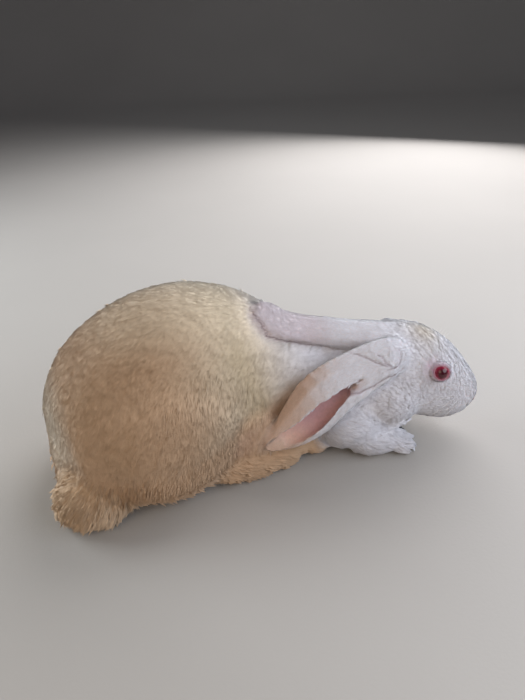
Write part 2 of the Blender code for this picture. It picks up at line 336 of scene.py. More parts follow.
def fetched(items, field, width, kind=float):
    """A field of every item as an array, this many numbers wide."""
    values = np.empty(len(items) * width, kind)
    items.foreach_get(field, values)
    return values.reshape(-1, width)


count = len(hide.vertices)
ends = fetched(hide.edges, "vertices", 2, np.int32)
degree = np.bincount(ends.ravel(), minlength=count)[:, None]


def spread(values, times):
    """Averages values over neighbouring points of the skin."""
    values = values.reshape(count, -1)
    for _ in range(times):
        total = np.empty_like(values)
        for k in range(values.shape[1]):
            total[:, k] = np.bincount(ends[:, 0], values[ends[:, 1], k], count)
            total[:, k] += np.bincount(ends[:, 1], values[ends[:, 0], k], count)
        values = (values + total / degree) / 2
    return values


def skin_normals():
    return fetched(hide.vertex_normals, "vector", 3)


def reshape(points):
    hide.vertices.foreach_set("co", points.ravel())
    hide.update()


outer = spread(fetched(hide.vertices, "co", 3), 1)
reshape(outer)

# The ears' middle lines: what faces them is the inside of the ear.
EAR_LINES = {
    "right": ((0.137, -0.074, 0.106), (0.089, -0.077, 0.105), (0.058, -0.078, 0.094),
              (0.039, -0.079, 0.082), (0.021, -0.079, 0.065), (0.002, -0.078, 0.051),
              (-0.019, -0.078, 0.041)),
    "left": ((0.144, -0.053, 0.112), (0.101, -0.037, 0.121), (0.075, -0.027, 0.125),
             (0.049, -0.020, 0.131), (0.027, -0.018, 0.140), (0.011, -0.014, 0.150),
             (0.000, -0.009, 0.159)),
}
OPENS = (0.27, 0.34)  # where the gutter begins to show, as shares of the ear's length
BARE_FROM, BARE_TO = (0.205, 0.240), (0.94, 0.84)  # where its bare lining starts and ends


def nearest_on(points, line):
    """Each point's nearest place on a line, the line's way there and how far along."""
    line = np.asarray(line, float)
    best = np.full(len(points), np.inf)
    place, way, along = np.zeros_like(points), np.zeros_like(points), np.zeros(len(points))
    for k, (a, b) in enumerate(zip(line[:-1], line[1:])):
        t = np.clip((points - a) @ (b - a) / ((b - a) @ (b - a)), 0, 1)
        q = a + t[:, None] * (b - a)
        gap = np.linalg.norm(points - q, axis=1)
        closer = gap < best
        best[closer] = gap[closer]
        place[closer] = q[closer]
        way[closer] = unit(b - a)
        along[closer] = (k + t[closer]) / (len(line) - 1)
    return place, way, along, best


# Each ear grows out of the head without a step: the crease round its root is filled,
# and so is the start of its gutter, where the lips meet. So are the creases under the
# left ear's tip, which lies on the nape, and between each haunch and its foot.
LEFT_TIP, NOTCH = (0.002, 0.001, 0.158), (0.0780, -0.0895, 0.0975)
FEET_MIDDLE = 0.007
creased, lips_near, knob = np.zeros(count), np.zeros(count), np.zeros(count)
for line in EAR_LINES.values():
    start, after = np.array(line[0]), np.array(line[1])
    knob = np.maximum(knob, smooth(0.034, 0.014, apart(outer, start * 0.85 + after * 0.15)))
    at_root = smooth(0.042, 0.022, apart(outer, start * 0.75 + after * 0.25))
    _, _, along, gap = nearest_on(outer, line)
    closed = smooth(OPENS[1], OPENS[0], along) * smooth(0.040, 0.032, gap)
    creased = np.maximum(creased, np.maximum(at_root, closed))
    lips_near = np.maximum(lips_near, closed * smooth(0.10, 0.16, along))
creased = np.maximum(creased, smooth(0.024, 0.012, apart(outer, LEFT_TIP)))
x, y, z = outer.T
over_foot = smooth(0.016, 0.026, z) * smooth(0.066, 0.052, z)
over_foot *= smooth(0.060, 0.030, x) * smooth(-0.10, -0.07, x)
over_foot = 0.8 * over_foot * smooth(0.040, 0.050, abs(y - FEET_MIDDLE))
creased = np.maximum(creased, over_foot)

# The knob at each root and the notch where the lips part are smoothed first. Then the
# hollows rise towards their surroundings, a little each round, the lips for longest.
outer = outer + (spread(outer, 40) - outer) * (0.8 * knob)[:, None]
notch = smooth(0.011, 0.004, apart(outer, NOTCH))
outer += (spread(outer, 30) - outer) * notch[:, None]
reshape(outer)
FILL_ROUNDS, LIPS_ONLY_AFTER, FILL_STEP = 10, 6, 0.003
unfilled = outer.copy()
for fill_round in range(FILL_ROUNDS):
    brim = skin_normals()
    rise = np.sum((spread(outer, 14) - outer) * brim, axis=1)
    filled = creased if fill_round < LIPS_ONLY_AFTER else lips_near
    outer = outer + brim * (np.clip(rise, 0, FILL_STEP) * filled)[:, None]
    reshape(outer)
eased_in = spread(apart(outer, unfilled), 6)
outer += (spread(outer, 6) - outer) * np.clip(eased_in / 0.0008, 0, 1)
reshape(outer)

# Which part of the body each point belongs to, blended over about a centimetre.
owner = [cad_owner[cad_tree.find_nearest(Vector(p))[2]] for p in outer]
share = np.zeros((count, len(FLESH) + 1))
share[np.arange(count), owner] = 1
share[:, FLESH.index("head")] += share[:, -1]
share = spread(share[:, :-1], 14)


def by_part(*values):
    """Values for the trunk, neck, head, tail, ears, forelegs and hind legs, blended."""
    kinds = ("trunk", "neck", "head", "tail", "ear", "foreleg", "hindleg")
    value = dict(zip(kinds, values))
    return share @ np.array([float(value[name.split("_")[0]]) for name in FLESH])


def of_part(*names):
    """How far each point belongs to the named nodes."""
    return sum(share[:, FLESH.index(name)] for name in names)


# The bare lining of the ears, and the fringe of fur that leans in over its edges.
normals = skin_normals()
bare = np.zeros(count)
ear_way = np.zeros((count, 3))
ear_along, ear_inward = np.zeros(count), np.zeros(count)
for side, line in EAR_LINES.items():
    mine = of_part("ear_" + side)
    place, way, along, _ = nearest_on(outer, line)
    inward = np.sum(unit(place - outer) * normals, axis=1)
    inside = smooth(0.15, 0.55, inward) * smooth(0.6, 0.9, mine)
    inside *= smooth(*BARE_FROM, along) * smooth(*BARE_TO, along)
    bare = np.maximum(bare, inside)
    ear_way += way * mine[:, None]
    ear_along += along * mine
    ear_inward = np.maximum(ear_inward, inward * mine)
bare = spread(bare, 2)[:, 0]
around = spread(np.c_[bare, outer * bare[:, None]], 14)
into_ear = around[:, 1:] / np.maximum(around[:, :1], 1e-6) - outer
fringe = smooth(0.02, 0.25, around[:, 0]) * (1 - smooth(0.3, 0.8, bare))

# Drawing the skin in by the coat's depth, less where the coat is pressed on the floor.
depth_mm = by_part(2.0, 1.8, 1.0, 5.0, 0.7, 1.5, 2.0)
FOOT_DEPTH_MM, LID_DEPTH = 1.8, 0.0009
low = smooth(0.030, 0.008, outer[:, 2])
foot = of_part("hindleg_right", "hindleg_left") * smooth(-0.01, 0.025, outer[:, 0])
depth_mm += (FOOT_DEPTH_MM - depth_mm) * low * smooth(0.3, 0.8, foot)
depth = depth_mm * (1 - 0.6 * bare) / 1000 + SWELL
for centre in eye_at.values():
    depth -= (depth - LID_DEPTH) * smooth(0.024, 0.014, apart(outer, centre))
drawn = outer - normals * spread(depth, 4)
soft = spread(drawn, 3)
keep = np.clip(of_part("ear_right", "ear_left"), 0, 1)
drawn += (soft - drawn) * (1 - keep)[:, None]

# Lids: the skin dips behind the eyeball inside an almond opening and rolls over its edge.
# A ring of 1 is the edge of the opening, and larger ones lie round it.
LID_WIDE, LID_TALL = math.radians(60), math.radians(50)
LID_DIP, LID_RISE, LID_ROLL, LID_REACH = 0.0030, 0.0038, 0.0016, 0.024
lid = np.full(count, 9.0)
gaze_of = {}
for side, centre in eye_at.items():
    sign = 1 if side == "left" else -1
    gaze = unit(np.array((-0.08, sign * 1.0, 0.30)) @ SKULL)
    across = unit(NOSEWARD - gaze * (NOSEWARD @ gaze))
    above = np.cross(gaze, across)
    above *= np.sign(above @ CROWNWARD)
    gaze_of[side] = (gaze, across, above)
    arm = drawn - centre
    far = np.linalg.norm(arm, axis=1)
    ray = unit(arm)
    front = ray @ gaze
    away = np.arctan2(np.hypot(ray @ across, ray @ above), front)
    wide = (ray @ across) / math.sin(LID_WIDE)
    tall = (ray @ above) / math.sin(LID_TALL) / (1 - 0.12 * np.clip(wide, -1, 1) ** 2)
    edge = np.clip(np.sin(away) / np.maximum(np.hypot(wide, tall), 1e-6), 0, 0.999)
    edge_at = np.arcsin(edge)
    ring = np.where(away < edge_at, np.sin(away) / np.maximum(edge, 1e-6), away / edge_at)
    ring[far > LID_REACH] = 9.0
    lid = np.minimum(lid, ring)
    rim = EYE_RADIUS - LID_DIP + LID_RISE * smooth(0.82, 0.98, ring)
    rim += LID_ROLL * smooth(1.06, 1.60, ring)
    hold = smooth(2.1, 1.10, ring) * smooth(0.0235, 0.0160, far)
    rim += smooth(1.06, 1.30, ring) * np.maximum(far - rim, 0)
    far = far + (rim - far) * hold
    close = ring < 2.3
    drawn[close] = (centre + ray * far[:, None])[close]
reshape(drawn)

# Grooves and folds, as lines on the head's own axes: the nose and mouth, the folds of
# skin between the ears' roots and the cheeks, and the left ear's edge on the nape.
NOSTRIL = ((0.0625, 0.0015, -0.0150), (0.0620, 0.0040, -0.0125), (0.0600, 0.0062, -0.0085))
LIP = ((0.0640, 0, -0.0160), (0.0640, 0, -0.0230), (0.0610, 0, -0.0310))
MOUTH = ((0.0610, 0, -0.0310), (0.0570, 0.0070, -0.0360), (0.0480, 0.0130, -0.0420),
         (0.0380, 0.0170, -0.0470))
FOLDS = (
    ((-0.093, 0.048, -0.024), (-0.084, 0.051, -0.020), (-0.075, 0.053, -0.017),
     (-0.065, 0.052, -0.014), (-0.052, 0.047, -0.012)),
    ((-0.058, 0.038, 0.004), (-0.049, 0.040, -0.001), (-0.047, 0.043, -0.009),
     (-0.054, 0.054, -0.017)),
    ((-0.037, 0.040, -0.011), (-0.049, 0.053, -0.020), (-0.055, 0.060, -0.034),
     (-0.064, 0.067, -0.045), (-0.074, 0.074, -0.054)),
    ((-0.072, 0.048, -0.008), (-0.063, 0.050, -0.010), (-0.050, 0.050, -0.011)),
)
LEFT_EDGE = (
    (-0.196, -0.024, -0.053), (-0.192, -0.034, -0.056), (-0.185, -0.042, -0.054),
    (-0.176, -0.046, -0.056), (-0.167, -0.048, -0.060), (-0.156, -0.045, -0.059),
    (-0.145, -0.039, -0.057), (-0.125, -0.028, -0.054), (-0.106, -0.021, -0.047),
    (-0.090, -0.019, -0.041),
)


def tree_of_skin():
    """A search tree of the skin as it is now."""
    faces = [tuple(face.vertices) for face in hide.polygons]
    return BVHTree.FromPolygons([Vector(p) for p in drawn], faces)


ungrooved = tree_of_skin()


def ripple(points, size, seed):
    """A smooth random field of vectors, whose waves are about this size."""
    waves = np.random.default_rng(seed)
    field = np.zeros_like(points)
    for _ in range(10):
        pull = unit(waves.normal(size=3)) * 2 * np.pi / (size * waves.uniform(0.7, 1.5))
        swing = waves.normal(size=3)
        field += np.sin(points @ pull + waves.uniform(0, 6.3))[:, None] * swing
    return field / 3.2


def laid_on(line, stray):
    """A line on the head's axes, laid on the skin with small irregular bends."""
    line = np.array([from_skull(p) for p in line])
    fine = [np.linspace(a, b, 5)[:-1] for a, b in zip(line[:-1], line[1:])] + [line[-1:]]
    fine = np.concatenate(fine)
    fine = fine + stray * ripple(fine, 0.009, 11)
    return np.array([ungrooved.find_nearest(Vector(p))[0] for p in fine])


def bell(gap, size):
    """1 at no distance, fading smoothly over about this size."""
    return np.exp(-((gap / size) ** 2))


def mark_of(points, laid, half):
    """How near each point is to a laid line, from 1 on it to 0, and its raised sides."""
    _, _, along, gap = nearest_on(points, laid)
    taper = smooth(0, 0.15, along) * smooth(1, 0.8, along) * 0.7 + 0.3
    return bell(gap, half) * taper, bell(gap - 2.2 * half, half) * taper


CREASES_REACH = 0.23
near_head = apart(drawn, SKULL_AT) < CREASES_REACH
spots = drawn[near_head]
dent, groove_shade, nostril = np.zeros(count), np.zeros(count), np.zeros(count)
# Each groove: its laid line, its half width, its depth and how dark its painted shade is.
lines = [(laid_on(LIP, 0), 0.0009, 0.0012, 0.6)]
creases = []
for side in (-1, 1):
    flip = np.array((1, side, 1))
    lines.append((laid_on(np.array(MOUTH) * flip, 0), 0.0010, 0.0012, 0.6))
    creases += [laid_on(np.array(fold) * flip, 0.0012) for fold in FOLDS]
    core, sides = mark_of(spots, laid_on(np.array(NOSTRIL) * flip, 0), 0.0010)
    dent[near_head] += 0.0018 * (core - 0.35 * sides)
    nostril[near_head] = np.maximum(nostril[near_head], core)
creases.append(laid_on(LEFT_EDGE, 0.0004))
lines += [(laid, 0.0012, 0.0004, 0.9) for laid in creases]
for laid, half, deep, tone in lines:
    core, sides = mark_of(spots, laid, half)
    dent[near_head] += deep * (core - 0.35 * sides)
    # Painted shade in the grooves and folds.
    groove_shade[near_head] = np.maximum(groove_shade[near_head], core * tone)
drawn -= skin_normals() * dent[:, None]
reshape(drawn)
normals = skin_normals()
on_skull = (drawn - SKULL_AT) @ SKULL.T

# The lie of the coat: from the nose back over the head, down the sides of the body,
# along the ears to their tips, and down the legs to the toes.
bend = np.radians(14 - 44 * smooth(-0.16, 0.13, drawn[:, 0]))
back = -np.c_[np.cos(bend), np.sin(bend), np.zeros(count)]
down = np.tile((0.0, 0.0, -1.0), (count, 1))
heel = smooth(0.045, 0.020, drawn[:, 2])[:, None]
ways = {
    "trunk": back + down * (0.7 + 0.9 * smooth(-0.05, -0.18, drawn[:, 0]))[:, None],
    "neck": back + 0.35 * down,
    "head": unit(drawn - from_skull((0.072, 0, -0.014))) * 0.8 - NOSEWARD * 0.6,
    "tail": unit(drawn - np.array((-0.165, -0.045, 0.040))) + 0.3 * down,
    "ear_right": ear_way,
    "ear_left": ear_way,
    "foreleg": np.tile((0.85, -0.28, -0.45), (count, 1)),
    "hindleg": (back * 0.45 + down * 1.3) * (1 - heel) + np.array((1.0, 0.0, -0.25)) * heel,
}
lie = sum(
    share[:, k : k + 1] * unit(ways.get(name, ways.get(name.split("_")[0])))
    for k, name in enumerate(FLESH)
)
for _ in range(4):
    lie = unit(lie - normals * np.sum(lie * normals, axis=1, keepdims=True))
    lie = spread(lie, 4)
FRINGE_LEAN = 0.55
lie = unit(lie + FRINGE_LEAN * fringe[:, None] * unit(into_ear))
lie = unit(lie - normals * np.sum(lie * normals, axis=1, keepdims=True))

# Markings: an albino coat, white with a cool tint on the head and ears, cream along the
# back, and warmer on the haunches and low on the sides. In places painted light and
# shade are mixed into these markings, as told below.
WHITE, COOL_SHADE_WHITE = np.array((0.86, 0.855, 0.925)), np.array((0.77, 0.77, 0.85))
CREAM, PALE_AND_RIM_LIGHT = np.array((0.84, 0.72, 0.54)), np.array((0.72, 0.66, 0.56))
FAWN_AND_SHADE, STRAW_SHADE = np.array((0.58, 0.39, 0.25)), np.array((0.60, 0.47, 0.28))
TAN, FLESH_PINK = np.array((0.76, 0.52, 0.39)), np.array((0.80, 0.62, 0.58))
MAUVE, LAVENDER = np.array((0.42, 0.30, 0.34)), np.array((0.70, 0.56, 0.68))
EAR_PINK = np.array((0.64, 0.38, 0.40))
LID_PINK = np.array((0.58, 0.33, 0.40))
NOSE_PINK = np.array((0.74, 0.48, 0.47))


def mixed(base, tone, strength):
    return base + (tone - base) * np.clip(strength, 0, 1)[:, None]


def washed(colour, *washes):
    """A colour under washes of other tones, each with its strength at every point."""
    for tone, strength in washes:
        colour = mixed(colour, tone, strength)
    return colour


# The body: cream from the shoulders back; fawn on the haunches and low on the sides,
# partly the coat's own stain and partly painted shade and warm bounce light; a pale
# rump, partly painted rim light from behind; and a straw-coloured painted shade in the
# hollow ahead of each haunch.
x, y, z = drawn.T
rear = by_part(1, 0, 0, 1, 0, 0, 1)
# Fawn on the haunches: partly the coat's own stain, partly painted shade and warm bounce light.
haunch = 0.84 * smooth(-0.02, -0.115, x - 0.013 * smooth(0.13, 0.10, z))
haunch = haunch + 0.12 * smooth(0.05, -0.01, x)
haunch *= 1 - 0.5 * smooth(0.150, 0.182, z)
# Fawn low on the sides near the floor: partly stain, partly painted shade and warm bounce
# light.
rim = smooth(0.100, 0.060, z) * smooth(0.08, 0.03, x)
HOLLOW = np.array(((-0.030, -0.049, 0.142), (-0.014, -0.059, 0.086), (-0.016, -0.077, 0.050)))
SPINE_SIDE, HOLLOW_WIDE = 0.022, 0.014
hollows = (HOLLOW, HOLLOW * (1, -1, 1) + (0, SPINE_SIDE, 0))
fur_colour = washed(
    np.tile(WHITE, (count, 1)),
    (CREAM, rear * smooth(0.09, -0.03, x)),
    # Fawn: partly the coat's own stain, partly painted shade and warm bounce light.
    (FAWN_AND_SHADE, rear * np.maximum(haunch, rim)),
    (CREAM, 0.22 * of_part("tail")),
    # Paler on the rump's rear: partly the coat's own white, partly painted rim light from
    # behind.
    (PALE_AND_RIM_LIGHT, 0.75 * rear * smooth(-0.186, -0.213, x) * smooth(0.035, 0.075, z)),
    # Straw-coloured painted shade in the hollow ahead of each haunch.
    *((STRAW_SHADE, 0.35 * rear * bell(nearest_on(drawn, line)[3], HOLLOW_WIDE)) for line in hollows),
)

# The head, neck and left ear: a mauve ring round each eye, a cream crown, a faint pink on
# the ear, and a bluish painted shade on the neck, the tint of cool daylight. The forelegs
# and left ear are a little darker.
CROWN, CROWN_WIDE = (-0.030, -0.004, 0.022), 0.016
eye_gap = np.minimum(*(apart(drawn, centre) for centre in eye_at.values()))
left_ear = of_part("ear_left") * smooth(0.25, 0.5, ear_along)
neck_cool_shade = of_part("neck") + of_part("trunk") * smooth(-0.02, 0.06, x)
fur_colour = washed(
    fur_colour,
    (LAVENDER, 0.65 * smooth(2.2, 1.2, lid) * smooth(0.021, 0.012, eye_gap)),
    (CREAM * (1, 0.97, 0.85), 0.5 * bell(apart(on_skull, CROWN), CROWN_WIDE)),
    (EAR_PINK * (1.1, 1.15, 1.15), 0.30 * left_ear),
    # Painted cool shade on the neck.
    (COOL_SHADE_WHITE, 0.55 * neck_cool_shade * smooth(0.04, 0.10, z)),
)
fur_colour *= (1 - (0.12 * by_part(0, 0, 0, 0, 0, 1, 0) + 0.07 * left_ear))[:, None]

# The right ear: painted shade makes it dark where its gutter starts. It is tan on its
# rear margin, partly tan fur and partly painted shade on the side turned from the
# window, and tan on its tip. The side of the body that it lies against gets a tan
# painted shadow of the ear.
SLIT_START, SLIT_WIDE = (0.0735, -0.0872, 0.0940), 0.006
_, _, ear_run, ear_gap = nearest_on(drawn, EAR_LINES["right"])
ear_skin = of_part("ear_right")
# The rear margin: tan fur, with painted shade on the side that faces away from the window.
margin = smooth(-0.12, -0.60, normals[:, 0]) * smooth(0.12, 0.36, ear_run)
margin = np.maximum(margin * smooth(0.40, 0.05, ear_inward), smooth(0.62, 0.88, ear_run))
# A tan painted shadow that the ear casts on the side of the body.
ear_shadow_band = smooth(0.040, 0.024, ear_gap) * smooth(0.35, 0.60, ear_run) * (1 - ear_skin)
fur_colour = washed(
    fur_colour,
    # Painted shade in the recess where the gutter starts.
    (MAUVE * 1.2, 0.7 * ear_skin * bell(apart(drawn, SLIT_START), SLIT_WIDE)),
    # Tan margin and tip: tan fur, and painted shade where the margin faces away from the
    # window.
    (TAN, 0.9 * ear_skin * margin),
    # Painted shadow of the ear on the side of the body.
    (TAN, 0.55 * ear_shadow_band * smooth(0.03, 0.05, z)),
)

# The skin itself is pinker, most of all where it is bare: the ears' lining, the lids and
# the nose. It is dark with painted shade in the nostrils and the folds.
NOSE = (0.0635, 0, -0.0105)
nose = smooth(0.0115, 0.0075, apart(on_skull, NOSE))
lining = mixed(np.tile(EAR_PINK, (count, 1)), TAN * 0.9, 0.7 * smooth(0.6, 0.85, ear_run))
skin_colour = washed(
    fur_colour,
    (FLESH_PINK, np.full(count, 0.25)),
    (lining, bare),
    # Painted shade on the lining deep in the gutter, near each ear's start.
    (MAUVE, 0.45 * bare * smooth(0.40, 0.27, ear_along)),
    (LAVENDER * (1, 0.8, 0.9), smooth(1.5, 1.2, lid)),
    (LID_PINK * (0.8, 0.65, 0.7), smooth(1.12, 1.00, lid)),
    (NOSE_PINK, nose),
    # Painted shade in the nostrils.
    (MAUVE * 0.6, nostril),
    # Painted shade in the grooves and folds.
    (MAUVE, groove_shade * 0.6),
)
write(hide, "Markings_light_and_shade", "FLOAT_COLOR", np.c_[skin_colour, np.ones(count)])
hide_paint = finish(
    "hide", "Markings_light_and_shade", (420.0, 4), (0.93, 1.06), (1400.0, 4, 0.0004, 0.5),
    Roughness=0.62, Sheen_Weight=0.15,
    Subsurface_Weight=0.12, Subsurface_Scale=0.004, Subsurface_Radius=(1.0, 0.35, 0.25),
)
hide.materials.clear()
hide.materials.append(hide_paint)
hide.shade_smooth()

bpy.context.view_layer.objects.active = skin
skin.select_set(True)
bpy.ops.object.mode_set(mode="EDIT")
bpy.ops.mesh.select_all(action="SELECT")
bpy.ops.uv.smart_project(angle_limit=1.15, island_margin=0.0005)
bpy.ops.object.mode_set(mode="OBJECT")
skin.select_set(False)
hide.uv_layers[0].name = "OFBake"
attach(skin, "root")
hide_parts(*FLESH)

# ------------------------------------------------------------------------------- coat
# The fur: some hundreds of thousands of small closed tufts, each a bent blade with a
# keel. They root in the skin, lie along it and overlap, and gather a little towards
# their tips. The body's are longest, and those of the face, ears and paws very short.

# Tufts to a square millimetre, their length, width and angle off the skin, how unruly
# they are, how large their locks are and how closely gathered, and the share of wisps:
# on the trunk, neck, head, tail, ears, forelegs and hind legs.
per_square_mm = by_part(1.45, 1.50, 2.35, 1.50, 1.85, 1.70, 1.45)
reach_mm = by_part(10.5, 8.0, 4.4, 14.0, 3.4, 6.0, 10.5)
width_mm = by_part(0.72, 0.70, 0.50, 0.75, 0.50, 0.65, 0.72)
lift_deg = by_part(6.5, 8, 12, 24, 10, 15, 7)
ragged = by_part(0.08, 0.15, 0.45, 0.65, 0.30, 0.60, 0.08)
clump_mm = by_part(5.0, 4.5, 3.6, 5.0, 3.5, 4.5, 5.0)
pull_in = by_part(0.06, 0.10, 0.42, 0.26, 0.30, 0.35, 0.08)
wisps = by_part(0.006, 0.004, 0.003, 0.010, 0.003, 0.003, 0.006)

# Longer on the cheeks, shorter on the hind feet, round the lids and on the muzzle.
cheek = smooth(0.03, -0.04, on_skull[:, 0]) * of_part("head")
muzzle = smooth(0.035, 0.060, on_skull[:, 0])
reach_mm += cheek * 3.0
reach_mm += (4.5 - reach_mm) * low * smooth(0.3, 0.8, foot)
reach_mm *= 1 - 0.45 * smooth(3.0, 1.4, lid)
reach_mm *= 1 - 0.45 * muzzle

# The hem, where the coat meets the floor, is long, ragged and gathered in locks. Just
# above it the coat of the sides overgrows the hollow over the feet.
hem = smooth(0.034, 0.014, z) * by_part(1, 0, 0, 1, 0, 0.5, 1)
overgrown = smooth(0.078, 0.056, z) * smooth(0.15, -0.30, normals[:, 2]) * rear * (1 - hem)
ragged = np.maximum(ragged, 0.6 * hem)
reach_mm += 3.5 * hem + 3.0 * fringe
lift_deg += (28 - lift_deg) * hem
reach_mm += 4.0 * overgrown
lift_deg += 12 * overgrown
clump_mm += (5.5 - clump_mm) * hem
pull_in += (0.32 - pull_in) * hem


def level_way(heading):
    """The level way at a heading in degrees, where 0 is the way the rabbit faces."""
    return np.array((math.cos(math.radians(heading)), math.sin(math.radians(heading)), 0))


# Each forepaw: its middle and its heading. Long hair fans out over its toes. Tufts that
# stand off there and under the sides are shaded as if they faced up.
PAWS = (((0.1026, -0.0856, 0.0085), -12), ((0.1186, -0.0306, 0.0085), -24))
raised = np.zeros(count)
for at, heading in PAWS:
    arm = drawn - np.array(at)
    front = smooth(0.008, 0.030, arm @ level_way(heading))
    front *= smooth(0.055, 0.045, np.linalg.norm(arm, axis=1))
    front *= by_part(0, 0, 0, 0, 0, 1, 0)
    reach_mm += 5.0 * front
    raised = np.maximum(raised, front)
    pull_in += (0.80 - pull_in) * front
    clump_mm += (5.6 - clump_mm) * front
beneath = smooth(0.050, 0.022, z) * rear
raised = np.maximum(raised, 0.35 * np.maximum(beneath, overgrown))

# Fewer tufts on the soles, and none in the ears, on the lids, the nose or the nostrils.
per_square_mm *= 1 - 0.7 * smooth(-0.75, -0.95, normals[:, 2]) * smooth(0.03, 0.01, z)
per_square_mm *= (1 - smooth(0.25, 0.6, bare)) * smooth(1.02, 1.14, lid) * (1 - 0.9 * nose)
per_square_mm *= 1 - smooth(0.3, 0.7, nostril)

hide.calc_loop_triangles()
total = len(hide.loop_triangles)
tri = fetched(hide.loop_triangles, "vertices", 3, np.int32)
loop_uv = fetched(hide.uv_layers["OFBake"].data, "uv", 2, np.float32)
tri_uv = loop_uv[fetched(hide.loop_triangles, "loops", 3, np.int32)]
edge_a = drawn[tri[:, 1]] - drawn[tri[:, 0]]
edge_b = drawn[tri[:, 2]] - drawn[tri[:, 0]]
area = np.linalg.norm(np.cross(edge_a, edge_b), axis=1) / 2

dice = np.random.default_rng(7)
wanted = area * 1e6 * per_square_mm[tri].mean(axis=1)
heap = np.cumsum(wanted)
tufts = int(heap[-1])
on = np.searchsorted(heap, (np.arange(tufts) + dice.random(tufts)) * heap[-1] / tufts)
on = np.minimum(on, total - 1)
u, v = dice.random((2, tufts))
u = np.sqrt(u)
bary = np.c_[1 - u, u * (1 - v), u * v]


def at_roots(values):
    """A value of the skin's points at each tuft's root."""
    return np.einsum("ij,ij...->i...", bary, values[tri[on]])


root = at_roots(drawn)
normal = unit(at_roots(normals))
unruly = at_roots(ragged)
# Tufts lie along the coat with small waves, and differ a little in length and width.
lay = at_roots(lie) + 0.10 * ripple(root, 0.045, 1) + 0.05 * dice.normal(size=(tufts, 3))
lay = unit(lay - normal * np.sum(lay * normal, axis=1, keepdims=True))
reach = at_roots(reach_mm) / 1000 * dice.uniform(0.80, 1.10, tufts)
reach *= 1 + 0.14 * unruly * ripple(root, 0.012, 2)[:, 0]
width = at_roots(width_mm) / 1000 * dice.uniform(0.75, 1.25, tufts)
lift = np.radians(at_roots(lift_deg)) * (1 + 0.14 * dice.normal(size=tufts))
lift = lift + 0.06 * unruly * ripple(root, 0.010, 3)[:, 0]
# Some are slimmer guard hairs, and a few are thin wisps that stand up.
GUARD_SHARE, LEAST_LIFT, MOST_LIFT = 0.08, 0.04, 1.2
guard = dice.random(tufts) < GUARD_SHARE
lift = np.clip(np.where(guard, lift * 1.5, lift), LEAST_LIFT, MOST_LIFT)
width = np.where(guard, width * 0.55, width)
wisp = dice.random(tufts) < at_roots(wisps)
lift = np.where(wisp, np.clip(lift * 2.3, LEAST_LIFT, MOST_LIFT), lift)
width = np.where(wisp, width * 0.25, width)
# Each blade: its root, a knee with two sides, and its tip.
side = np.cross(normal, lay)
gather = ripple(root, 0.007, 4) * (0.16 * unruly * reach)[:, None]
gather -= normal * np.sum(gather * normal, axis=1, keepdims=True)
height = reach * np.sin(lift)
run = reach * np.cos(lift)
knee = root + lay * (0.42 * run)[:, None] + normal * (0.72 * height)[:, None] + gather * 0.3
tip = root + lay * run[:, None]
tip = tip + normal * (height * dice.uniform(0.75, 1.1, tufts))[:, None] + gather
# Tufts gather into locks: each tip is drawn to the tip of the lock that is nearest.
lock_size = at_roots(clump_mm) ** 2 * at_roots(per_square_mm)
locks = np.flatnonzero(dice.random(tufts) < 1 / np.maximum(lock_size, 1))
lock_tree = KDTree(len(locks))
for k, at in enumerate(root[locks]):
    lock_tree.insert(at, k)
lock_tree.balance()
lock = locks[[lock_tree.find(at)[1] for at in root]]
pull = at_roots(pull_in)[:, None]
tip += (tip[lock] - tip) * pull
knee += (knee[lock] - knee) * pull * 0.35
ROOTED, OFF_FLOOR, FLOOR_SPREAD = 0.0006, 0.0003, 0.0006
half = side * (width / 2)[:, None]
spindle = np.stack((root - normal * ROOTED, knee + half, knee - half, tip), 1)
lowest = OFF_FLOOR + FLOOR_SPREAD * dice.random((tufts, 1))
spindle[..., 2] = np.maximum(spindle[..., 2], lowest)
# Its shading is nearly that of the skin below, so that the coat reads as one surface.
tilt = (0.06 + 0.30 * unruly)[:, None]
normal = unit(normal + np.array((0, 0, 1.4)) * at_roots(raised)[:, None])
beside, ahead = tilt * side, 0.1 * lay
bent = (normal, unit(normal + beside), unit(normal - beside), unit(normal + ahead))
bent = np.stack(bent, 1)

# Its colour is the marking at its root, a little uneven, and mauve with painted shade in the
# folds.
uneven = (0.03 + 0.04 * unruly)[:, None] * dice.normal(size=(tufts, 1))
tone = at_roots(fur_colour) * (1 + uneven)
tone *= 1 + 0.012 * ripple(root, 0.018, 5)[:, :1]
by_head = apart(root, SKULL_AT) < CREASES_REACH
crease_shade, CREASE_HALF = np.zeros(tufts), 0.0009
for laid in creases:
    mark = mark_of(root[by_head], laid, CREASE_HALF)[0]
    crease_shade[by_head] = np.maximum(crease_shade[by_head], mark)
# Painted shade in the folds.
tone = mixed(tone, MAUVE * 0.8, 0.9 * crease_shade)
# Each tuft is a little darker at its root, as painted shade among the tufts, and a little
# lighter at its tip.
tone = tone[:, None, :] * np.array((0.95, 0.99, 0.99, 1.01))[None, :, None]
tone = np.concatenate((np.clip(tone, 0, 1), np.ones((tufts, 4, 1))), axis=2)
BLADE = np.array((0, 2, 1, 3, 1, 2, 0, 1, 3, 0, 3, 2))
PATCH = np.array(((0, -0.0015), (-0.0015, 0), (0.0015, 0), (0, 0.0015)))
root_uv = np.einsum("ij,ijk->ik", bary, tri_uv[on])
patch = np.clip(root_uv[:, None, :] + PATCH[None], 0, 1)

coat_paint = finish(
    "fur", "Markings_light_and_shade", (260.0, 3), (0.96, 1.03), (2600.0, 2, 0.0001, 0.3),
    Roughness=0.70, Specular_IOR_Level=0.25, Sheen_Weight=0.30, Sheen_Roughness=0.5,
)


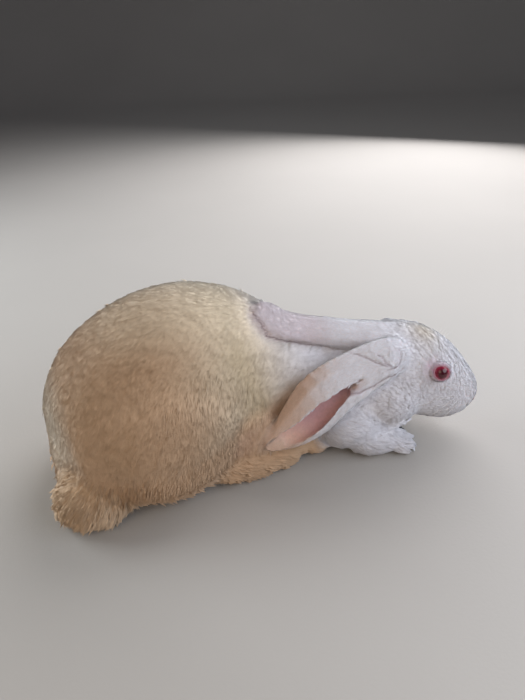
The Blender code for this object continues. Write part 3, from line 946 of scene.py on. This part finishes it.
def tuft_piece(name, chosen):
    """One piece of the coat, from the chosen tufts."""
    chosen = np.flatnonzero(chosen)
    corners = (BLADE[None] + 4 * np.arange(len(chosen))[:, None]).ravel()
    coat = mesh_object(name, spindle[chosen].reshape(-1, 3), corners, 3)
    mesh = coat.data
    write(mesh, "Markings_light_and_shade", "FLOAT_COLOR", tone[chosen])
    write(mesh, "custom_normal", "FLOAT_VECTOR", bent[chosen])
    spread_map = mesh.uv_layers.new(name="OFBake")
    spread_map.data.foreach_set("uv", patch[chosen][:, BLADE].astype(np.float32).ravel())
    mesh.materials.append(coat_paint)
    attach(coat, "root")


# The trunk's coat is in three pieces, and the head's in two, from the tail forwards.
SLICES = {"trunk": ("rump", "back", "shoulders"), "head": ("cheeks", "face")}
part_of = share.argmax(axis=1)[tri[on, 0]]
for index, name in enumerate(FLESH):
    mine = part_of == index
    labels = SLICES.get(name, (name,))
    cuts = np.quantile(root[mine, 0], np.linspace(0, 1, len(labels) + 1)[1:-1])
    where = np.searchsorted(cuts, root[:, 0])
    for k, label in enumerate(labels):
        tuft_piece("coat_" + label, mine & (where == k))

# ------------------------------------------------------------------------------- eyes
# The eyeballs: wet spheres with a bulging cornea, dark crimson in the pupil and pinkish
# red round it, as an albino's are. The lids hold them.
RINGS, SPOKES = 40, 48
angle = np.linspace(0, math.pi, RINGS + 1)
turns = np.linspace(0, 2 * math.pi, SPOKES, endpoint=False)
CORNEA_RISE, CORNEA_WIDE, LID_GAP = 0.0006, 0.75, 0.00005
bulge = EYE_RADIUS + CORNEA_RISE * np.exp(-((angle / CORNEA_WIDE) ** 4)) - LID_GAP
eye_paint, tree, shader = plain_finish(
    "eye", Roughness=0.15, Coat_Weight=0.6, Coat_Roughness=0.03, Specular_IOR_Level=0.3
)
# The iris: colours from the middle of the pupil out, by the angle from the gaze.
IRIS_SPAN = 1.57
iris = add_node(tree, "ShaderNodeValToRGB", Fac=attribute(tree, "Gaze", "Fac"))
STOPS = (
    (0.00, (0.050, 0.003, 0.010)),
    (0.26, (0.070, 0.004, 0.012)),
    (0.36, (0.170, 0.010, 0.030)),
    (0.50, (0.300, 0.022, 0.055)),
    (0.64, (0.380, 0.055, 0.100)),
    (0.80, (0.420, 0.130, 0.190)),
)
while len(iris.color_ramp.elements) < len(STOPS):
    iris.color_ramp.elements.new(0.5)
for stop, (at, colour) in zip(iris.color_ramp.elements, STOPS):
    stop.position = at
    stop.color = (*colour, 1)
fibres = noise(tree, attribute(tree, "Fibre", "Vector"), 9.0, 5.0)
streaked = shaded(tree, iris.outputs["Color"], ranged(tree, fibres, 0.75, 1.3))
tree.links.new(streaked, shader.inputs["Base Color"])
for eye_side, centre in eye_at.items():
    gaze, across, above = gaze_of[eye_side]
    handed = np.array((across, np.cross(gaze, across), gaze))
    shell = [np.array((0, 0, bulge[0]))]
    for a, r in zip(angle[1:-1], bulge[1:-1]):
        level = np.full(SPOKES, np.cos(a))
        ring = np.c_[np.sin(a) * np.cos(turns), np.sin(a) * np.sin(turns), level]
        shell += list(ring * r)
    shell.append(np.array((0, 0, -bulge[-1])))
    ball = bmesh.new()
    made = [ball.verts.new(centre + p @ handed) for p in shell]
    for k in range(SPOKES):
        after = (k + 1) % SPOKES
        ball.faces.new((made[0], made[1 + k], made[1 + after]))
        for j in range(RINGS - 2):
            a, b = 1 + j * SPOKES, 1 + (j + 1) * SPOKES
            ball.faces.new((made[a + k], made[b + k], made[b + after], made[a + after]))
        last = 1 + (RINGS - 2) * SPOKES
        ball.faces.new((made[last + k], made[-1], made[last + after]))
    bmesh.ops.recalc_face_normals(ball, faces=ball.faces)
    mesh = bpy.data.meshes.new("eyeball_" + eye_side)
    ball.to_mesh(mesh)
    ball.free()
    angles = np.concatenate(((0,), np.repeat(angle[1:-1], SPOKES), (math.pi,)))
    spokes = np.concatenate(((0,), np.tile(turns, RINGS - 1), (0,)))
    write(mesh, "Gaze", "FLOAT", angles / IRIS_SPAN)
    write(mesh, "Fibre", "FLOAT_VECTOR", np.c_[np.cos(spokes), np.sin(spokes), angles * 0.12])
    mesh.shade_smooth()
    mesh.materials.append(eye_paint)
    eyeball = bpy.data.objects.new("eyeball_" + eye_side, mesh)
    scene.collection.objects.link(eyeball)
    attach(eyeball, "root")
    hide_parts(EYES[eye_side])

# --------------------------------------------------------- whiskers, brows and claws
# Stiff pale hairs on the muzzle and over the eyes, lashes on the lids, and a pale horn
# claw at the end of each toe. All are tapered tubes, and all but the lashes bend under
# their weight.
bristle = bpy.data.node_groups.new("bristle", "GeometryNodeTree")
sockets = bristle.interface
KINDS = {"Thickness": "Float", "Tip share": "Float", "Droop": "Float", "Finish": "Material"}
WAYS_IN = {
    key: sockets.new_socket(key, in_out="INPUT", socket_type="NodeSocket" + kind).identifier
    for key, kind in {"Geometry": "Geometry", **KINDS}.items()
}
sockets.new_socket("Geometry", in_out="OUTPUT", socket_type="NodeSocketGeometry")


def step(kind, **values):
    """Adds a node to the bristles' group."""
    return add_node(bristle, kind, **values)


def sum_of(kind, a, b):
    """The result of arithmetic on two values."""
    made = step("ShaderNodeMath", _0=a, _1=b)
    made.operation = kind
    return made.outputs[0]


given = step("NodeGroupInput").outputs
spine = step("GeometryNodeCurvePrimitiveLine", End=(0, 0, 1))
spine = step("GeometryNodeResampleCurve", Curve=spine.outputs[0], Count=8)
along = step("GeometryNodeSplineParameter").outputs["Factor"]
lost = sum_of("MULTIPLY", along, sum_of("SUBTRACT", 1.0, given["Tip share"]))
slim = sum_of("SUBTRACT", 1.0, lost)
hoop = step("GeometryNodeCurvePrimitiveCircle", Resolution=6, Radius=1.0)
tube = step(
    "GeometryNodeCurveToMesh",
    Curve=spine.outputs[0],
    Profile_Curve=hoop.outputs[0],
    Scale=sum_of("MULTIPLY", slim, given["Thickness"]),
    Fill_Caps=True,
)
where = step("GeometryNodeInputPosition").outputs[0]
high = step("ShaderNodeSeparateXYZ", Vector=where).outputs["Z"]
tube = step(
    "GeometryNodeStoreNamedAttribute", Geometry=tube.outputs[0], Name="along", Value=high
)
aim = step("GeometryNodeInputNamedAttribute", Name="aim")
aim.data_type = "FLOAT_VECTOR"
length = step("GeometryNodeInputNamedAttribute", Name="reach")
stand = step("FunctionNodeAlignRotationToVector", Vector=aim.outputs[0])
size = step("ShaderNodeCombineXYZ", X=1.0, Y=1.0, Z=length.outputs[0])
many = step(
    "GeometryNodeInstanceOnPoints",
    Points=given["Geometry"],
    Instance=tube.outputs[0],
    Rotation=stand.outputs[0],
    Scale=size.outputs[0],
)
real = step("GeometryNodeRealizeInstances", Geometry=many.outputs[0])
kept = step("GeometryNodeInputNamedAttribute", Name="along").outputs[0]
drop = sum_of("MULTIPLY", length.outputs[0], given["Droop"])
sag = sum_of("MULTIPLY", sum_of("MULTIPLY", kept, kept), drop)
fall = step("ShaderNodeCombineXYZ", Z=sum_of("MULTIPLY", sag, -1.0))
bent_down = step("GeometryNodeSetPosition", Geometry=real.outputs[0], Offset=fall.outputs[0])
even = step("GeometryNodeSetShadeSmooth", Geometry=bent_down.outputs[0])
done = step("GeometryNodeSetMaterial", Geometry=even.outputs[0], Material=given["Finish"])
out = step("NodeGroupOutput")
bristle.links.new(done.outputs[0], out.inputs[0])


def bristles(name, roots, aims, reaches, thickness, tip_share, droop, paint):
    """A piece of tapered hairs or claws, each from its root along its aim."""
    starts = mesh_object(name, roots, [], 3)
    mesh = starts.data
    write(mesh, "aim", "FLOAT_VECTOR", aims)
    write(mesh, "reach", "FLOAT", reaches)
    grow = starts.modifiers.new("grow", "NODES")
    grow.node_group = bristle
    for key, value in zip(KINDS, (thickness, tip_share, droop, paint)):
        grow[WAYS_IN[key]] = value
    graph = bpy.context.evaluated_depsgraph_get()
    grown = bpy.data.meshes.new_from_object(starts.evaluated_get(graph))
    starts.modifiers.clear()
    starts.data = grown
    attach(starts, "root")


skin_tree = tree_of_skin()


def on_skin(at):
    return np.array(skin_tree.find_nearest(Vector(at))[0])


HAIR_WHITE, HORN_PINK = (0.86, 0.83, 0.80, 1), (0.80, 0.62, 0.55, 1)
hair_paint = finish(
    "whisker", HAIR_WHITE, (500.0, 2), (0.92, 1.05), Roughness=0.35, Specular_IOR_Level=0.5
)
horn_paint = finish(
    "horn", HORN_PINK, (700.0, 4, (1, 1, 0.2)), (0.85, 1.1),
    Roughness=0.35, Subsurface_Weight=0.2, Subsurface_Scale=0.002,
)

# Whiskers: four rows of five on each side of the muzzle, longest at the back.
WHISKER_THICK, LASH_THICK, CLAW_THICK = 0.00009, 0.00008, 0.0013
roots, aims, reaches = [], [], []
for flip in (-1, 1):
    for row in range(4):
        for k in range(5):
            spot = from_skull((0.052 - 0.005 * k, flip * 0.030, -0.012 - 0.006 * row))
            roots.append(on_skin(spot))
            way = np.array((-0.15 - 0.20 * k, flip * (0.34 - 0.03 * row), -0.55 - 0.18 * row))
            aims.append(unit(way + 0.10 * dice.normal(size=3)) @ SKULL)
            reaches.append((0.026 + 0.004 * k) * dice.uniform(0.75, 1.1))
bristles("whiskers", roots, aims, reaches, WHISKER_THICK, 0.2, 0.25, hair_paint)

# Brow hairs: five over each eye.
roots, aims, reaches = [], [], []
for eye_side, centre in eye_at.items():
    gaze, across, above = gaze_of[eye_side]
    for k in range(5):
        spot = centre + 0.010 * above + (0.003 * k - 0.006) * across + 0.006 * gaze
        roots.append(on_skin(spot))
        aims.append(unit(above + 0.5 * gaze + (0.12 * k - 0.4) * across))
        reaches.append(dice.uniform(0.012, 0.020))
bristles("brow_hairs", roots, aims, reaches, WHISKER_THICK, 0.2, 0.15, hair_paint)

# Lashes: along the upper lid and a little past its corners.
LASHES, LASH_FROM, LASH_TURN = 26, -12, 204
roots, aims, reaches = [], [], []
for eye_side, centre in eye_at.items():
    gaze, across, above = gaze_of[eye_side]
    for k in range(LASHES):
        turn_by = math.radians(LASH_FROM + LASH_TURN * k / (LASHES - 1))
        wide, tall = LID_WIDE * math.cos(turn_by), LID_TALL * math.sin(turn_by) * 0.93
        ray = unit(gaze + math.tan(wide) * across + math.tan(tall) * above)
        roots.append(centre + ray * (EYE_RADIUS + 0.0008))
        out_of = unit(ray - gaze * (ray @ gaze))
        aims.append(unit(ray + 0.5 * out_of + 0.1 * dice.normal(size=3)))
        reaches.append(dice.uniform(0.0025, 0.0045))
bristles("lashes", roots, aims, reaches, LASH_THICK, 0.2, 0.0, hair_paint)

# Claws. Each foot: its middle, heading in degrees, half length to the toe tips, pitch.
FEET = (
    ((-0.01945, -0.0556, 0.0115), 4, 0.0745, 0.0100),
    ((-0.01945, 0.0694, 0.0115), -6, 0.0745, 0.0100),
    ((0.10255, -0.0856, 0.0085), -12, 0.0385, 0.0075),
    ((0.11855, -0.0306, 0.0085), -24, 0.0385, 0.0075),
)
CLAW_LONG, CLAW_SUNK = 0.0085, 0.004
roots, aims, reaches = [], [], []
for at, heading, reach_to, pitch in FEET:
    ahead = level_way(heading)
    aside = np.array((-ahead[1], ahead[0], 0))
    for k in (-1.5, -0.5, 0.5, 1.5):
        spot = np.array(at) + ahead * (reach_to - 0.002 - 0.0025 * abs(k)) + aside * k * pitch
        roots.append(spot - ahead * CLAW_SUNK)
        aims.append(unit(ahead + aside * 0.05 * k - np.array((0, 0, 0.35))))
        reaches.append(CLAW_LONG)
bristles("claws", roots, aims, reaches, CLAW_THICK, 0.12, 0.15, horn_paint)
